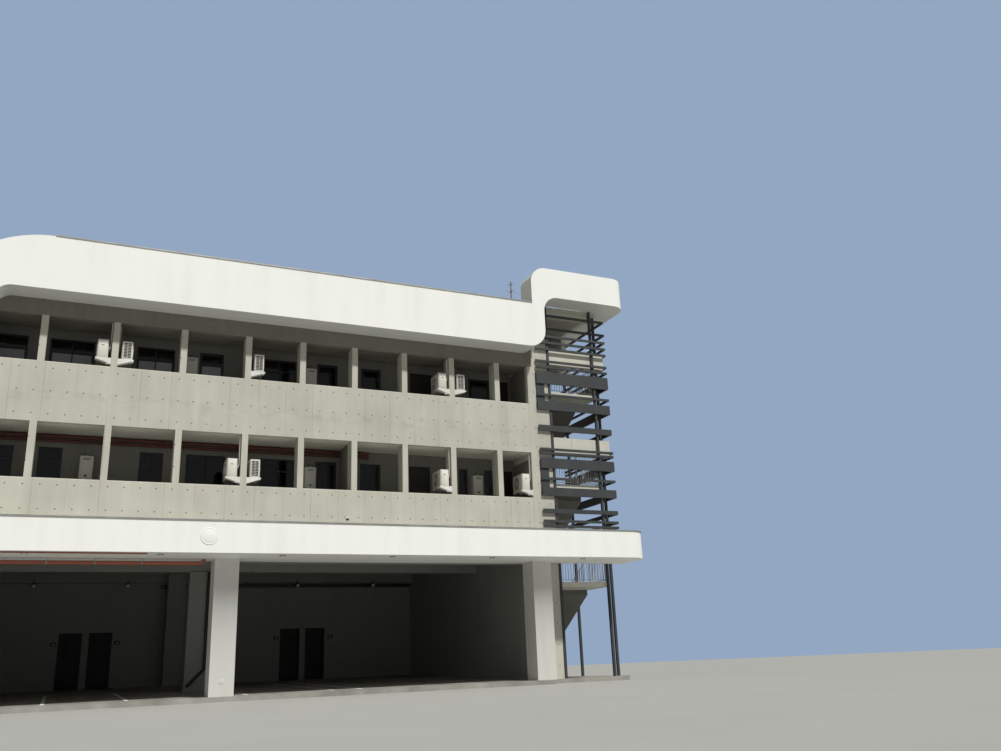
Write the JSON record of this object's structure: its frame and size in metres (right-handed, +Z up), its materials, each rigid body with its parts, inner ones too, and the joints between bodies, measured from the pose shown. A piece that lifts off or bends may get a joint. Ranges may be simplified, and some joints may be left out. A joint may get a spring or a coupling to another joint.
{
  "type": "three-storey fire station building",
  "caption": "Three-storey concrete fire station with an open garage, deep canopy, open galleries, a white roof ribbon and a louvred outside stair tower.",
  "frame": {"origin": "on the underside of the ground slab, at mid front, in the plane of the front bands", "axes": "+X along the front to the right, +Y into the building, +Z up"},
  "size_m": [24.295, 15.97, 15.4],
  "materials": {
    "fair_faced_concrete": "fair-faced, satin",
    "white_render": "smooth white coating",
    "white_paint": "matt white paint on render",
    "grey_wall_paint": "matt grey paint",
    "floor_concrete": "trowelled",
    "anthracite_metal": "powder coat, satin",
    "window_aluminium": "dark anodised",
    "door_steel": "dark paint",
    "window_glass": "clear, slightly tinted",
    "unit_casing": "light powder coat",
    "bracket_steel": "white paint",
    "coping_metal": "grey folded sheet",
    "red_pipe_paint": "orange-red gloss paint",
    "black_pipe": "black plastic pipe",
    "lamp_housing": "dark satin paint",
    "galvanised_steel": "galvanised"
  },
  "bodies": {
    "building": {"ground_slab": "floor_concrete", "garage_floor": "floor_concrete", "front_columns": "white_paint", "inner_columns": "grey_wall_paint", "garage_beams": "grey_wall_paint", "cable_tray": "lamp_housing", "ground_side_walls": "grey_wall_paint", "rear_ground_wall": "grey_wall_paint", "rear_sill_and_lintel": "grey_wall_paint", "rear_door_frames": "door_steel", "upper_floors": "fair_faced_concrete", "roof_slabs": "fair_faced_concrete", "front_bands": "fair_faced_concrete", "roof_fascia": "fair_faced_concrete", "front_piers": "fair_faced_concrete", "gallery_soffits": "fair_faced_concrete", "gallery_walls": "grey_wall_paint", "gallery_cross_wall": "grey_wall_paint", "window_frames": "window_aluminium", "window_glass": "window_glass", "gallery_doors": "door_steel", "upper_side_walls": "fair_faced_concrete", "upper_rear_walls": "fair_faced_concrete", "parapets": "fair_faced_concrete", "canopy_slab": "white_paint", "canopy_fascia": "white_render", "copings": "coping_metal", "roof_ribbon": "white_render", "hood_return": "white_render", "thin_louvres": "anthracite_metal", "wide_louvres": "anthracite_metal", "louvre_end_panels": "anthracite_metal", "tower_posts": "anthracite_metal", "tower_beams": "fair_faced_concrete", "tower_wing_wall": "fair_faced_concrete", "stair_head_walls": "white_paint", "stair_doors": "door_steel", "stair_landings": "fair_faced_concrete", "stair_waists": "fair_faced_concrete", "stair_steps": "fair_faced_concrete", "stair_guards": "anthracite_metal", "air_conditioners": "unit_casing", "conditioner_brackets": "bracket_steel", "wall_heaters": "unit_casing", "sprinkler_pipes": "red_pipe_paint", "pipe_clips": "galvanised_steel", "downpipe": "black_pipe", "canopy_downlights": "lamp_housing", "garage_lamps": "lamp_housing", "roof_mast": "galvanised_steel"},
    "rear_door_1": {"rear_door_1": "door_steel"},
    "rear_door_2": {"rear_door_2": "door_steel"},
    "rear_door_3": {"rear_door_3": "door_steel"},
    "rear_door_4": {"rear_door_4": "door_steel"}
  },
  "joints": [
    {"name": "rear_door_1_hinge", "type": "hinge", "parent": "building", "child": "rear_door_1", "pos_m": [-7.42, 13.912, 1.52], "axis": [0, 0, 1], "range_deg": [0, 95]},
    {"name": "rear_door_2_hinge", "type": "hinge", "parent": "building", "child": "rear_door_2", "pos_m": [-6.26, 13.912, 1.52], "axis": [0, 0, 1], "range_deg": [0, 95]},
    {"name": "rear_door_3_hinge", "type": "hinge", "parent": "building", "child": "rear_door_3", "pos_m": [1.7, 13.912, 1.52], "axis": [0, 0, 1], "range_deg": [0, 95]},
    {"name": "rear_door_4_hinge", "type": "hinge", "parent": "building", "child": "rear_door_4", "pos_m": [2.85, 13.912, 1.52], "axis": [0, 0, 1], "range_deg": [0, 95]}
  ]
}
